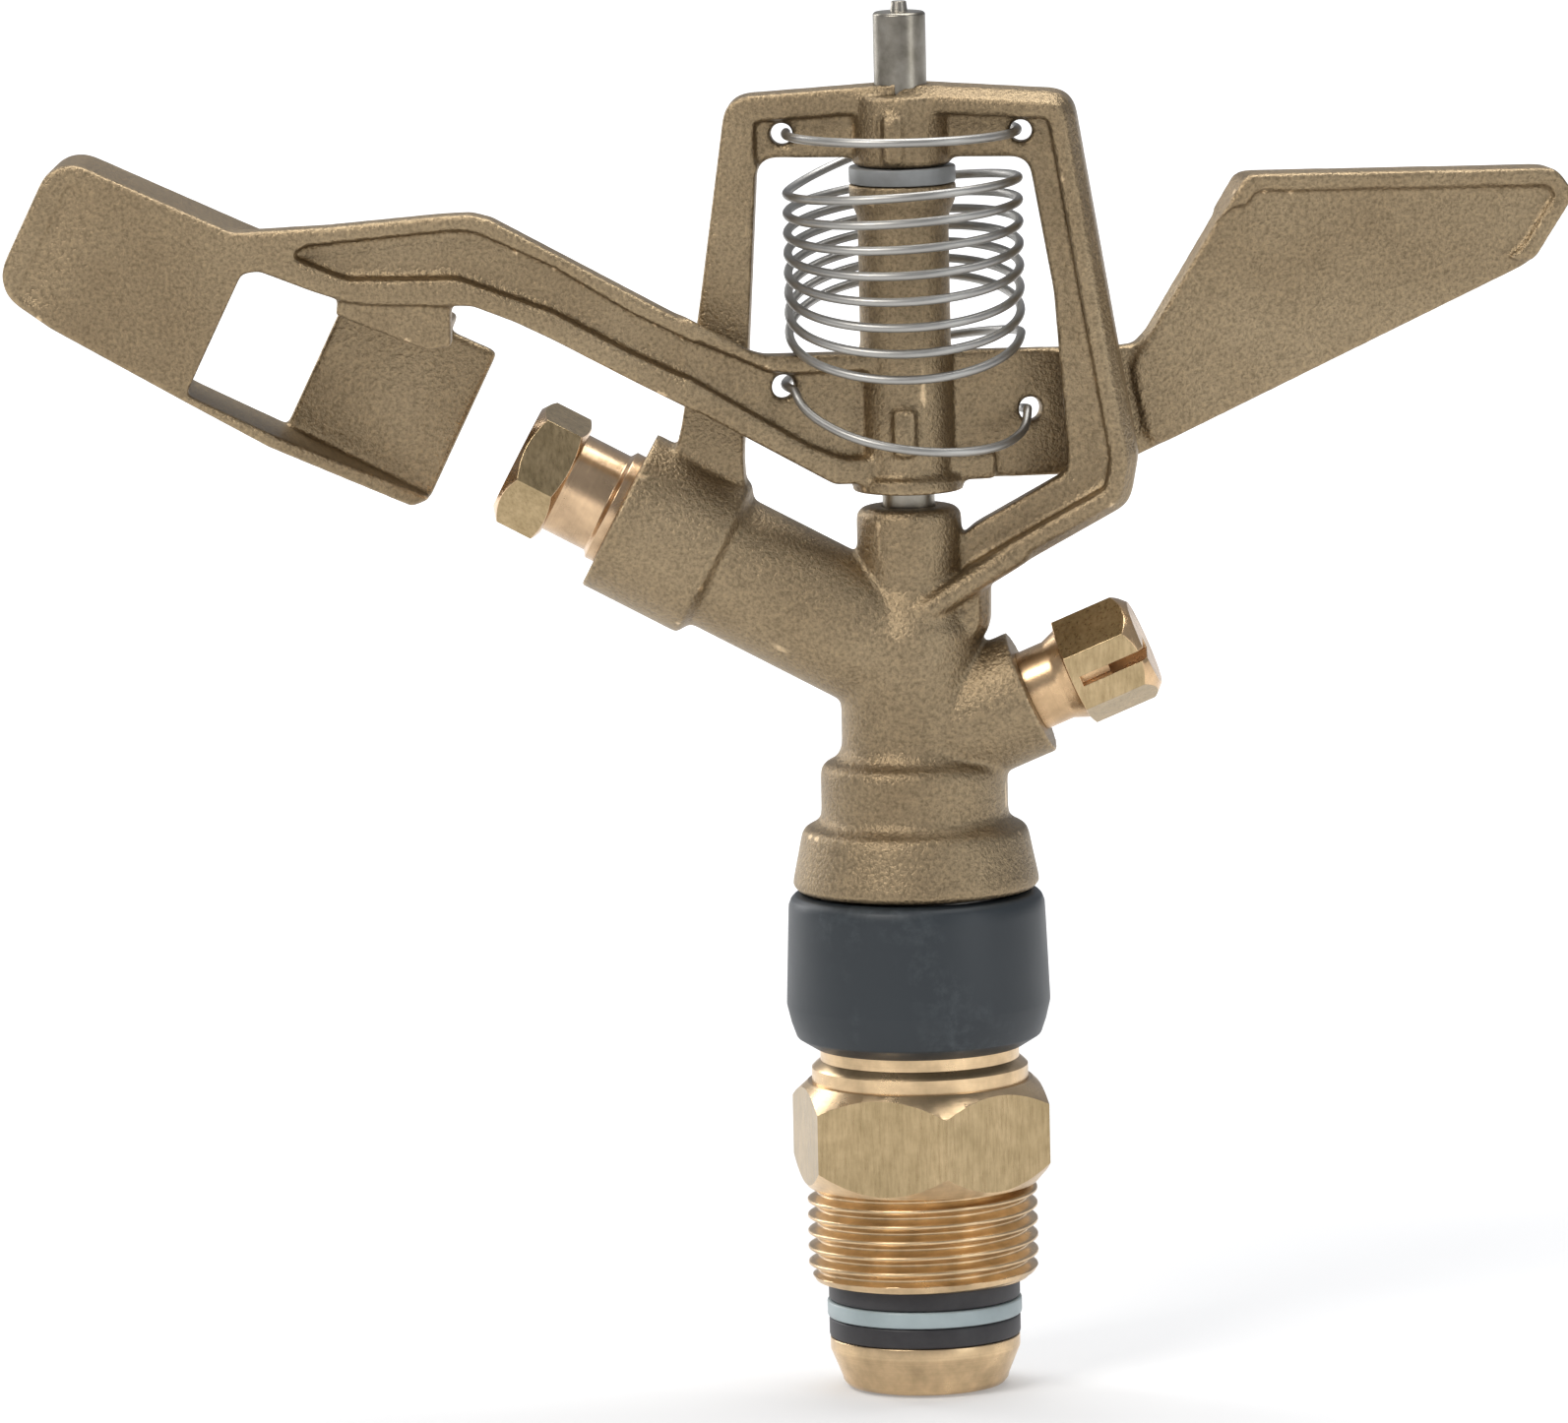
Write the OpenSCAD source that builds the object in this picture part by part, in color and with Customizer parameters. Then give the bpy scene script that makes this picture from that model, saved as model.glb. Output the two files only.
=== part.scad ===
// Full-circle impact sprinkler with a male inlet thread.
// Frame: +Z up along the turning axis, origin on that axis at the underside of the inlet hexagon,
// main nozzle towards -X, counterweight towards +X, -Y is the open side that the arm swings towards.

/* [Inlet nipple] */
// Major diameter of the male inlet thread (G 3/4)
thread_d = 26.44; // [26.2:0.01:26.6]
// Length of the inlet thread below the hexagon
thread_len = 11; // [10.5:0.1:11.5]
// Width across the flats of the inlet hexagon
hex_af = 27; // [26.5:0.1:27.5]
// Height of the inlet hexagon
hex_h = 12; // [11.6:0.1:12]
// Turn of the inlet hexagon about its axis, in degrees
hex_turn = 13.7; // [0:0.1:30]

/* [Turning bearing] */
// Outer diameter of the turning tube
tube_d = 16.6; // [16.2:0.1:16.8]
// Bore of the turning tube
tube_bore = 13; // [12:0.1:13.2]
// Running clearance on the radius of every turning fit
run_gap = 0.04; // [0.02:0.01:0.06]
// Thickness of each dark seal ring
seal_h = 2.4; // [2.2:0.1:2.6]
// Thickness of the pale thrust ring between the seal rings
thrust_h = 1.9; // [1.7:0.1:2.1]
// Outer diameter of the dust sleeve
sleeve_d = 30.2; // [29.8:0.1:30.6]

/* [Body casting] */
// Rise of the main barrel above the horizontal, in degrees
barrel_rise = 28; // [27:0.5:29]
// Height at which the barrel axis crosses the turning axis
barrel_z = 60.6; // [60.2:0.1:61]
// Outer diameter of the barrel
barrel_d = 16; // [15.6:0.1:16.4]
// Length of the barrel from the turning axis to its face
barrel_len = 37.4; // [37:0.1:38]
// Rise of the rear boss above the horizontal, in degrees
rear_rise = 23; // [22:0.5:24]
// Height at which the rear boss axis crosses the turning axis
rear_z = 50.8; // [50.6:0.1:51]
// Depth, front to back, of the plain bridge legs
leg_depth = 6; // [5.6:0.1:6]
// Height of the top of the bridge
bridge_z = 126.7; // [126.5:0.1:127]

/* [Nozzles] */
// Bore of the main nozzle
nozzle_bore = 4.8; // [4:0.1:5.5]
// Width across the flats of the main nozzle
nozzle_af = 13.6; // [13.2:0.1:14]
// Width across the flats of the spreader nozzle
spreader_af = 11.2; // [11:0.1:11.4]

/* [Swing arm] */
// Diameter of the steel arm shaft
shaft_d = 6; // [5.8:0.1:6.2]
// Outer diameter of the arm hub
hub_d = 10.4; // [10.2:0.1:10.8]
// Yaw of the arm when it rests on the bridge, in degrees
arm_yaw = 15.5; // [15.5:0.1:16]
// Rise of the spoon channel above the horizontal, in degrees
spoon_rise = 26; // [25.5:0.1:26.5]

/* [Arm spring] */
// Wire diameter of the arm spring
arm_wire_d = 1.05; // [0.9:0.05:1.1]
// Mean radius of the arm spring's coils
arm_coil_r = 13.2; // [13:0.05:13.3]

/* [Hidden] */
$fn = 96;
smooth_fn = 24;          // facets of a rounded outline corner
eps = 0.01;

bronze = "#8c7a5c";
brass = "#c9a56c";
steel = "#9a9a96";
dark_plastic = "#3c464b";
pale_plastic = "#cfe0e2";
black_rubber = "#2c2a2c";
washer_white = "#b9bec0";

// turning bearing
tube_r = tube_d/2;
seal_r = 11;                            // outer radius of the seal rings
thrust_r = 11.2;
seal_bore_r = tube_r + 0.1;
seal_1_z = -thread_len - seal_h;        // underside of the upper seal ring
thrust_z = seal_1_z - thrust_h;
seal_2_z = thrust_z - seal_h;
tube_foot_z = -23.5;
tube_top_z = 47;
gasket_h = 1;
nipple_collar_z = 14;                   // top of the turned collar above the hexagon
nipple_neck_r = 11.4;
nipple_top_z = 18.5;
spring_washer_h = 1;
spring_washer_r = 12;
bell_roof_z = 39.5;                     // roof of the hollow inside the bell

// body casting
bell_z = 34.1;
bell_r = 14.1;
neck_r = 10.7;
neck_z = 49.2;
trunk_r = 8.2;
post_r = 6;
post_z = 78.2;
barrel_bore_r = 5.2;
collar_r = 9.6;
collar_start = 25.3;
rear_boss_r = 7.3;
rear_boss_len = 14.8;
rear_bore_r = 4;
web_half = 1.5;                         // half thickness of the bridge web
flange_w = 3;                           // width of the bridge's raised outer flange
flange_reach = 4.5;                     // how far the flange stands off the middle plane
top_boss_r = 5.6;
top_boss_z = 117.2;
spring_hole_r = 1.3;
spring_hole_x = 13.6;
top_ring_z = 121;                       // height of the arm spring's top ring

// swing arm
shaft_r = shaft_d/2;
shaft_foot_z = 68.5;
shaft_top_z = 134.7;
hub_r = hub_d/2;
hub_z = 80;
hub_top_z = 115.2;
bush_r = 4.1;
bush_len = 8;
rim_front = -2.9;                       // arm section, measured from its own middle plane
web_front = -0.7;
arm_back = 1.5;
beam_x = -24;                           // where the arm turns parallel to the bridge
beam_y = beam_x*tan(arm_yaw);
spoon_z = 63.1;                         // height at which the spoon channel's axis crosses the turning axis
spoon_front = beam_y + rim_front + 0.03;
arm_hole_x = 14.3;
arm_hole_r = 1.4;
arm_hole_left_z = 92.5;
arm_hole_right_z = 88.7;

function arc(cx, cy, r, a0, a1, n = 6) =
    [for (i = [0:n]) let (a = a0 + (a1 - a0)*i/n) [cx + r*cos(a), cy + r*sin(a)]];

// ring of wire-section points around a path point; the path winds about the Z axis
function wire_ring(p, p_next, r, sides) =
    let (t = (p_next - p)/norm(p_next - p),
         side = cross(t, [0, 0, 1])/norm(cross(t, [0, 0, 1])),
         up = cross(side, t))
    [for (k = [0:sides - 1]) p + r*(cos(360*k/sides)*side + sin(360*k/sides)*up)];

module wire(path, r, sides = 8) {
    last = len(path) - 1;
    rings = [for (i = [0:last])
        wire_ring(path[i], i < last ? path[i + 1] : 2*path[i] - path[i - 1], r, sides)];
    side_faces = [for (i = [0:last - 1]) for (k = [0:sides - 1])
        let (n = (k + 1) % sides)
        [i*sides + k, i*sides + n, (i + 1)*sides + n, (i + 1)*sides + k]];
    first_cap = [[for (k = [0:sides - 1]) sides - 1 - k]];
    last_cap = [[for (k = [0:sides - 1]) last*sides + k]];
    polyhedron(points = [for (ring = rings) each ring],
               faces = concat(side_faces, first_cap, last_cap), convexity = 10);
}

// a flat outline drawn in X and Z, given depth from y0 to y1
module slab(y0, y1) translate([0, y1, 0]) rotate([90, 0, 0]) linear_extrude(y1 - y0) children();

module rounded(r) offset(r = r, $fn = smooth_fn) offset(delta = -r) children();

// hexagonal head with turned chamfers of depth low and high at its two ends
module hex_head(af, h, low, high, turn) {
    corner = af/sqrt(3);
    intersection() {
        rotate([0, 0, turn]) cylinder(r = corner, h = h, $fn = 6);
        rotate_extrude() polygon([[0, 0], [af/2 - 0.3, 0], [corner + 0.1, low], [corner + 0.1, h - high],
            [af/2 - 0.6, h], [0, h]]);
    }
}

module ring(r_out, r_in, z, h) translate([0, 0, z]) difference() {
    cylinder(r = r_out, h = h);
    translate([0, 0, -eps]) cylinder(r = r_in, h = h + 2*eps);
}

// ---- inlet and turning bearing ----

module bearing_nipple() color(brass) {
    difference() {
        union() {
            translate([0, 0, -thread_len]) cylinder(r = thread_d/2, h = thread_len + 1);
            hex_head(hex_af, hex_h, 2.8, 2.6, hex_turn - 90);
            rotate_extrude() polygon([[0, hex_h - 1], [12.4, hex_h - 1], [12.4, nipple_collar_z - 0.4],
                [12, nipple_collar_z], [nipple_neck_r, nipple_collar_z + 0.5],
                [nipple_neck_r, nipple_top_z], [0, nipple_top_z]]);
        }
        translate([0, 0, -thread_len - 1]) cylinder(r = tube_r + run_gap, h = thread_len + nipple_top_z + 2);
    }
}

module upper_seal_ring() color(black_rubber) ring(seal_r, seal_bore_r, seal_1_z, seal_h);

module thrust_ring() color(pale_plastic) ring(thrust_r, seal_bore_r, thrust_z, thrust_h);

module lower_seal_ring() color(black_rubber) ring(seal_r, seal_bore_r, seal_2_z, seal_h);

module bearing_tube() color(brass) difference() {
    rotate_extrude() polygon(concat(
        [[0, tube_foot_z], [8.4, tube_foot_z]],
        arc(8.3, tube_foot_z + 1.2, 1.2, -60, -20, 3),
        [[10.9, seal_2_z - 1.4], [10.9, seal_2_z], [tube_r, seal_2_z], [tube_r, tube_top_z], [0, tube_top_z]]));
    translate([0, 0, tube_foot_z - 1]) cylinder(r = tube_bore/2, h = tube_top_z - tube_foot_z + 2);
    translate([0, 0, tube_foot_z - eps]) cylinder(r1 = tube_bore/2 + 0.8, r2 = tube_bore/2, h = 0.8);
}

module tube_gasket() color(black_rubber) ring(tube_r - 0.1, tube_bore/2, tube_top_z, gasket_h);

module lower_spring_washer() color(washer_white)
    ring(spring_washer_r, tube_r + 0.2, nipple_top_z, spring_washer_h);

module upper_spring_washer() color(washer_white)
    ring(spring_washer_r - 0.4, tube_r + 0.2, bell_roof_z - spring_washer_h, spring_washer_h);

// the end turns of the bearing spring lie flat against the washers
module bearing_spring() color(steel) {
    wire_r = 0.9;
    turns = 7;
    per_turn = 24;
    low = nipple_top_z + spring_washer_h + wire_r;
    high = bell_roof_z - spring_washer_h - wire_r;
    wire([for (i = [0:turns*per_turn])
        let (t = i/per_turn, rise = min(1, max(0, (t - 0.9)/(turns - 1.8))))
        [10.3*cos(360*t), 10.3*sin(360*t), mix(low, high, rise)]], wire_r);
}

module dust_sleeve() color(dark_plastic) {
    r = sleeve_d/2;
    rotate_extrude() polygon(concat(
        [[nipple_neck_r, 15.9], [11.7, 15.9], [r - 1.3, 17.4]],
        [[r, 21]],
        [[r - 0.4, 31.6]],
        arc(r - 1.9, 32.3, 1.5, 10, 90, 5),
        [[12.4, 33.8], [12.4, 18.2], [nipple_neck_r, 18.2]]));
}

// ---- body casting and what is fixed to it ----

module along_barrel() translate([0, 0, barrel_z]) rotate([0, -90 + barrel_rise, 0]) children();

module along_rear() translate([0, 0, rear_z]) rotate([0, 90 - rear_rise, 0]) children();

module bridge_outline() rounded(3) polygon([
    [-30, 76], [-26.6, 84], [-25.6, 88], [-23.3, 101.5], [-19.8, 125.4],
    [0, bridge_z], [19.5, 125.4], [24.2, 96.3], [26.3, 83.6], [25.3, 78.3],
    [14.6, 72.4], [9.2, 69.3], [9.1, 63.5], [0, 58], [-14, 68]]);

module bridge_window() offset(r = 2, $fn = smooth_fn) offset(delta = -2) polygon([
    [-18.2, 76], [-18.6, 84], [-17.7, 97.5], [-16.4, 118.3], [14.4, 118],
    [17, 102.7], [18.4, 82], [7.4, 75.9], [3, 72], [-6, 70]]);

module bridge_flat() difference() {
    bridge_outline();
    bridge_window();
}

// the raised flange that follows the bridge's outer edge
module bridge_flange(inset = 0) difference() {
    offset(delta = -inset) bridge_outline();
    offset(delta = -flange_w) bridge_outline();
}

module left_side() intersection() {
    children();
    translate([-60, 0]) square([60, 200]);
}

module right_side() intersection() {
    children();
    translate([0, 0]) square([60, 200]);
}

// the part of the bridge below the top bar, where the legs are plain and full width
module legs_only() intersection() {
    bridge_flat();
    union() {
        translate([-60, 0]) square([43.4, 200]);
        translate([-60, 0]) square([120, 117.5]);
    }
}

module bridge() {
    plain = leg_depth/2;
    bevel_steps = 4;
    bevel_inset = 1.4;
    slab(-web_half, web_half) bridge_flat();
    slab(-plain, -web_half + eps) left_side() union() {
        legs_only();
        bridge_flange();
    }
    slab(web_half - eps, plain) right_side() union() {
        bridge_flange();
        intersection() {
            bridge_flat();
            union() {
                translate([0, 0]) square([60, 117.5]);
                translate([16.6, 0]) square([60, 200]);
            }
        }
    }
    // bevelled flanges: towards -Y on the right, towards +Y on the left
    for (i = [0:bevel_steps - 1]) {
        step = (flange_reach - web_half)/bevel_steps;
        near = web_half + i*step;
        slab(-near - step, -near + eps) right_side() bridge_flange(bevel_inset*i/bevel_steps);
        slab(near - eps, near + step) left_side() bridge_flange(bevel_inset*i/bevel_steps);
    }
}

// rib that carries the strut's flange up over the trunk
module strut_rib() hull() {
    translate([2.4, -6.1, 67]) sphere(r = 1.3, $fn = 24);
    translate([12.6, -3, 73]) sphere(r = 1.5, $fn = 24);
    translate([5, 0, 68.2]) sphere(r = 1.5, $fn = 24);
}

module casting_rib(x, y, z, w, d, h) translate([x - w/2, y - d, z]) cube([w, d, h]);

module body_casting() color(bronze) difference() {
    union() {
        rotate_extrude() polygon(concat(
            [[0, bell_z], [13.5, bell_z]],
            arc(bell_r - 0.6, bell_z + 0.9, 0.6, -60, 10, 3),
            arc(11.9, 40.4, 1.1, 10, 90, 4),
            arc(12, 43, 1.3, 250, 180, 4),
            arc(neck_r - 1.4, neck_z - 1.6, 1.4, 0, 80, 4),
            [[trunk_r + 0.6, neck_z + 0.2], [trunk_r, neck_z + 1.4], [trunk_r, 64], [post_r, 69],
             [post_r, post_z - 0.8], [post_r - 0.8, post_z], [0, post_z]]));
        along_barrel() {
            translate([0, 0, -3]) cylinder(d = barrel_d, h = collar_start + 4);
            translate([0, 0, collar_start]) cylinder(r = collar_r, h = barrel_len - collar_start);
            translate([0, 0, collar_start - 1]) cylinder(r1 = barrel_d/2, r2 = collar_r, h = 1);
        }
        along_rear() cylinder(r = rear_boss_r, h = rear_boss_len);
        bridge();
        translate([0, 0, top_boss_z]) cylinder(r = top_boss_r, h = 125.4 - top_boss_z);
        strut_rib();
        casting_rib(-0.7, -top_boss_r + 0.5, 117.8, 2.2, 1.3, 5.4);
    }
    // hollow of the bell, seat of the tube and the waterways
    translate([0, 0, bell_z - 1]) cylinder(r = 12.4, h = bell_roof_z - bell_z + 1);
    translate([0, 0, bell_roof_z - 1]) cylinder(r = tube_r, h = tube_top_z + gasket_h - bell_roof_z + 1);
    translate([0, 0, tube_top_z]) cylinder(r = 6, h = 14.4);
    along_barrel() translate([0, 0, -1]) cylinder(r = barrel_bore_r, h = barrel_len + 2);
    along_rear() cylinder(r = rear_bore_r, h = rear_boss_len + 1);
    // arm shaft seat, below in the post and above through the bridge
    translate([0, 0, shaft_foot_z]) cylinder(r = shaft_r, h = 70);
    // holes that the arm spring's top ring passes through
    for (side = [-1, 1])
        translate([side*spring_hole_x, 0, top_ring_z]) rotate([90, 0, 0])
            cylinder(r = spring_hole_r, h = 20, center = true);
}

// four thin vanes in a short tube that take the swirl out of the water
module jet_straightener() color(pale_plastic) along_barrel() {
    start = 9;
    len = 14;
    difference() {
        translate([0, 0, start]) cylinder(r = barrel_bore_r - 0.05, h = len);
        translate([0, 0, start - 1]) cylinder(r = barrel_bore_r - 0.75, h = len + 2);
    }
    for (turn = [0, 90]) rotate([0, 0, turn])
        translate([-barrel_bore_r + 0.5, -0.3, start]) cube([2*barrel_bore_r - 1, 0.6, len]);
}

module main_nozzle() color(brass) along_barrel() {
    hex_start = 44.3;
    tip = 50.5;
    difference() {
        union() {
            translate([0, 0, 26]) cylinder(r = barrel_bore_r, h = 12);
            translate([0, 0, barrel_len]) cylinder(r = 6.7, h = 1.1);
            translate([0, 0, barrel_len + 1.1]) cylinder(r1 = 6.7, r2 = 6, h = 0.5);
            translate([0, 0, barrel_len]) cylinder(r = 6, h = hex_start - barrel_len + 1);
            translate([0, 0, hex_start]) hex_head(nozzle_af, tip - hex_start, 0.7, 1.3, 81);
        }
        translate([0, 0, 25]) cylinder(r = 4.2, h = 3);
        translate([0, 0, 28 - eps]) cylinder(r1 = 4.2, r2 = nozzle_bore/2, h = 16);
        translate([0, 0, 43]) cylinder(r = nozzle_bore/2, h = 9);
        translate([0, 0, tip - 0.6]) cylinder(r1 = nozzle_bore/2, r2 = nozzle_bore/2 + 0.8, h = 0.6 + eps);
    }
}

module spreader_nozzle() color(brass) along_rear() {
    hex_start = 19.9;
    tip = 28.9;
    neck = 4.7;
    difference() {
        union() {
            translate([0, 0, 6.5]) cylinder(r = rear_bore_r, h = 9);
            translate([0, 0, rear_boss_len]) cylinder(r = neck, h = hex_start - rear_boss_len);
            translate([0, 0, hex_start - 1.8]) cylinder(r1 = neck, r2 = spreader_af/2 - 0.1, h = 2);
            translate([0, 0, hex_start]) hex_head(spreader_af, tip - hex_start, 0.2, 1.6, 7);
        }
        translate([0, 0, 6]) cylinder(r = 2.2, h = 18);
        // the slit that spreads the water, open to the front and the tip
        rotate([0, 0, 7]) {
            translate([-0.6, -8, 24.4]) cube([1.2, 8, 6]);
            translate([-0.6, -8, 21]) cube([1.2, 4.2, 6]);
        }
    }
}

// ---- arm pivot ----

module arm_shaft() color(steel) {
    translate([0, 0, shaft_foot_z]) cylinder(r = shaft_r, h = shaft_top_z - shaft_foot_z - 0.25);
    translate([0, 0, shaft_top_z - 0.25 - eps]) cylinder(r1 = shaft_r, r2 = shaft_r - 0.25, h = 0.25);
    translate([0, 0, shaft_top_z - eps]) cylinder(r1 = 1, r2 = 0.85, h = 1.2);
}

module arm_washer() color(washer_white) ring(6.1, shaft_r + run_gap, hub_top_z + 0.05, top_boss_z - hub_top_z - 0.1);

module upper_arm_bush() color(washer_white)
    ring(bush_r, shaft_r + run_gap, hub_top_z - bush_len, bush_len);

module lower_arm_bush() color(washer_white)
    ring(bush_r, shaft_r + run_gap, hub_z, bush_len);

// ---- swing arm ----

module in_yaw() rotate([0, 0, arm_yaw]) children();

module in_spoon() translate([0, 0, spoon_z]) rotate([0, spoon_rise, 0]) mirror([1, 0, 0]) children();

module plate_outline() polygon([
    [-26, 101.2], [-18.4, 96.9], [-16.5, 96.3], [24.5, 95.4], [26.8, 95.6], [28.4, 97.1], [39, 113.6],
    [72, 108], [73.6, 103.8], [72.4, 102.6], [25, 82], [22, 80.9], [-9, 81.2], [-26, 91]]);

module hub_recess() polygon([
    [-27, 99.4], [-16, 94.4], [-13, 94.1], [0, 94.1], [0, 84], [-8, 84.2], [-11.6, 85.6], [-27, 95]]);

// the arm from the hub outwards on the nozzle side, up to where it turns
module hub_side() intersection() {
    plate_outline();
    translate([-27, 70]) square([27, 40]);
}

module tail_side() intersection() {
    plate_outline();
    translate([-0.5, 70]) square([90, 60]);
}

module counterweight_area() rounded(2) polygon([
    [26, 93.2], [39.6, 114.7], [76.2, 113.9], [78.5, 110.8], [73.8, 103.8], [72.4, 102.6], [28, 83.4]]);

// raised border along the counterweight's top and ends
module counterweight_rim() intersection() {
    difference() {
        counterweight_area();
        offset(delta = -2) counterweight_area();
    }
    polygon([[30.5, 104.6], [38, 120], [90, 120], [90, 100], [69, 104], [74, 111], [38, 111]]);
}

module lower_rim() intersection() {
    plate_outline();
    translate([-1, 70]) square([10.8, 14.2]);
}

module beam_outline() polygon([
    [beam_x + 0.6, 100], [-46.4, 112.6], [-48.6, 113.2], [-52, 113.1], [-65, 112], [-76, 111.5],
    [-80, 108.4], [-76.4, 106.6], [-72.8, 107], [-66.7, 104.6], [-63.4, 103.5], [-60.5, 103.1],
    [-48.6, 102.7], [-43.8, 100.8], [-39.7, 98.8], [-30, 93.6], [beam_x + 0.6, 90.2]]);

module beam_recess() rounded(0.5) polygon([
    [beam_x + 2, 97.5], [-30.7, 101.8], [-39.5, 107.2], [-48.2, 111.2], [-50.8, 111.4], [-67.4, 109.9],
    [-69, 109], [-68.6, 108.4], [-62.9, 106], [-50.2, 105.9], [-39.6, 102], [-30.8, 97.2],
    [beam_x + 2, 93]]);

// plate that joins the beam to the spoon's top wall
module gusset_outline() polygon([
    [-63.8, 104.4], [-51.2, 104.4], [-51.2, 98], [-54, 97.6], [-64.4, 101.8]]);

// the whole spoon seen along the arm's swing, in its own tilted frame
module spoon_side() rounded(0.6) polygon(concat(
    [[58, -11.2], [56.6, -9.8], [56.6, 8.8], [62.4, 8.8], [62.4, 10.9], [86, 10.4]],
    arc(107.6, 6.1, 3.8, 88, 0, 6),
    arc(107.2, -3.6, 4.2, 0, -80, 6),
    [[103.4, -8.5], [86.3, -9.6]]));

// the window between the deflector plate and the drive vane
module spoon_window() offset(r = 1.2, $fn = smooth_fn) offset(delta = -1.2) polygon([
    [74.9, -8.5], [74.9, 8.5], [78, 7.9], [83.6, 8], [86.2, 6.2], [86.2, -8.7]]);

// seen from above: a deflector that is flat outside and scooped inside, then walls that fall back
// to the drive vane, which leans into the jet
module deflector_plan() polygon(concat(
    [[86.3, spoon_front], [104, spoon_front], [112, spoon_front + 1.2], [112, 3.8], [109.9, 3.8]],
    [for (a = [80:-10:0]) [86.5 + 23.4*sin(a), 3.8 - (1.6 - spoon_front)*cos(a)]]));

module wall_plan() polygon([
    [88, spoon_front], [75, spoon_front], [56, 3.2], [56, 6.6], [74.9, 4.2], [112, 3.8], [112, spoon_front]]);

module vane_plan() polygon([[56, 4.6], [74.9, 2.2], [74.9, 4.2], [56, 6.6]]);

module in_plan() translate([0, 0, -15]) linear_extrude(30) children();

module spoon() in_spoon() {
    // deflector plate
    intersection() {
        slab(spoon_front - 1, 5) spoon_side();
        in_plan() deflector_plan();
    }
    // top and bottom walls
    intersection() {
        slab(spoon_front - 1, 7) difference() {
            spoon_side();
            polygon([[56, -9.4], [56, 9.4], [77.5, 9.4], [79.5, 8], [86.2, 8], [108.6, 7.6], [108.6, -6.8],
                [86.2, -8.7], [75, -8.7]]);
        }
        in_plan() wall_plan();
    }
    // drive vane
    intersection() {
        slab(0, 7) spoon_side();
        in_plan() vane_plan();
    }
}

module arm_solid() {
    in_yaw() {
        slab(web_front, arm_back) hub_side();
        slab(rim_front, arm_back) difference() {
            hub_side();
            hub_recess();
        }
        slab(-1.2, arm_back) tail_side();
        slab(-1.9, 1.9) counterweight_area();
        slab(rim_front, -rim_front) counterweight_rim();
        slab(rim_front, 0) lower_rim();
    }
    slab(beam_y + web_front, beam_y + arm_back) beam_outline();
    slab(beam_y + rim_front, beam_y + arm_back) difference() {
        beam_outline();
        beam_recess();
    }
    slab(spoon_front + 1.2, beam_y + arm_back) gusset_outline();
    spoon();
    translate([0, 0, hub_z]) cylinder(r = 6.3, h = 1.7);
    rotate_extrude() polygon([[0, hub_z + 0.5], [hub_r, hub_z + 0.5], [hub_r, 111.4], [6.1, 113.4],
        [6.1, hub_top_z], [0, hub_top_z]]);
    casting_rib(0, -hub_r + 0.4, 84.4, 2.6, 1.4, 5.4);
}

module swing_arm() color(bronze) difference() {
    arm_solid();
    translate([0, 0, hub_z - 1]) cylinder(r = shaft_r + 0.3, h = 40);
    for (z = [hub_z - 1, hub_top_z - bush_len])
        translate([0, 0, z]) cylinder(r = bush_r, h = bush_len + 1);
    in_yaw() for (hole = [[-arm_hole_x, arm_hole_left_z], [arm_hole_x, arm_hole_right_z]])
        translate([hole[0], 0, hole[1]]) rotate([90, 0, 0]) cylinder(r = arm_hole_r, h = 12, center = true);
}

// ---- arm spring ----

// height of the wire's centre at a turning angle: a flat ring through the bridge, a drop behind it,
// leaning open coils, and a last arc that dips in front of the arm between its two holes
ring_end = 400;
coil_start = 540;
coil_end = 3240;
left_hole_angle = 3420 + arm_yaw;
right_hole_angle = 3600 + arm_yaw;
coil_top = 115.5;
coil_pitch = 2.386;
lean_side = 1.3;
lean_front = 4.4;
lean_lag = 15;
last_dip = 4.8;
hole_swell = 0.8;       // how far the last turn swells out to reach the arm's holes
hole_run = 0.2;         // sine of the angle that the wire runs level for as it leaves a hole

function mix(a, b, t) = a + (b - a)*t;
function ease(t) = t*t*(3 - 2*t);
function coil_z(a) = coil_top - coil_pitch*(a - coil_start)/360 + lean_side*cos(a)
    + lean_front*sin(a - lean_lag)*(a - coil_start)/(coil_end - coil_start);
function spring_z(a) =
    a < ring_end ? top_ring_z
    : a < coil_start ? mix(top_ring_z, coil_z(coil_start), ease((a - ring_end)/(coil_start - ring_end)))
    : a < coil_end ? coil_z(a)
    : a < left_hole_angle ? mix(coil_z(coil_end), arm_hole_left_z, ease((a - coil_end)/(left_hole_angle - coil_end)))
    : mix(arm_hole_left_z, arm_hole_right_z, (a - left_hole_angle)/180)
        - last_dip*pow(max(0, abs(sin(a - left_hole_angle)) - hole_run)/(1 - hole_run), 0.55);
function spring_r(a) = arm_coil_r
    + hole_swell*max(0, 1 - abs(a - left_hole_angle)/35)
    + hole_swell*max(0, 1 - abs(a - right_hole_angle)/35);

module arm_spring() color(steel) {
    start = 176;
    stop = right_hole_angle + 6;
    steps = 290;
    wire([for (i = [0:steps]) let (a = mix(start, stop, i/steps))
        [spring_r(a)*cos(a), spring_r(a)*sin(a), spring_z(a)]], arm_wire_d/2);
}

bearing_nipple();
upper_seal_ring();
thrust_ring();
lower_seal_ring();
bearing_tube();
tube_gasket();
lower_spring_washer();
bearing_spring();
upper_spring_washer();
dust_sleeve();
body_casting();
jet_straightener();
main_nozzle();
spreader_nozzle();
arm_shaft();
arm_washer();
upper_arm_bush();
lower_arm_bush();
swing_arm();
arm_spring();
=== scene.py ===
import math

import bmesh
import bpy
import numpy as np
from mathutils import Matrix, Vector


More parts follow.
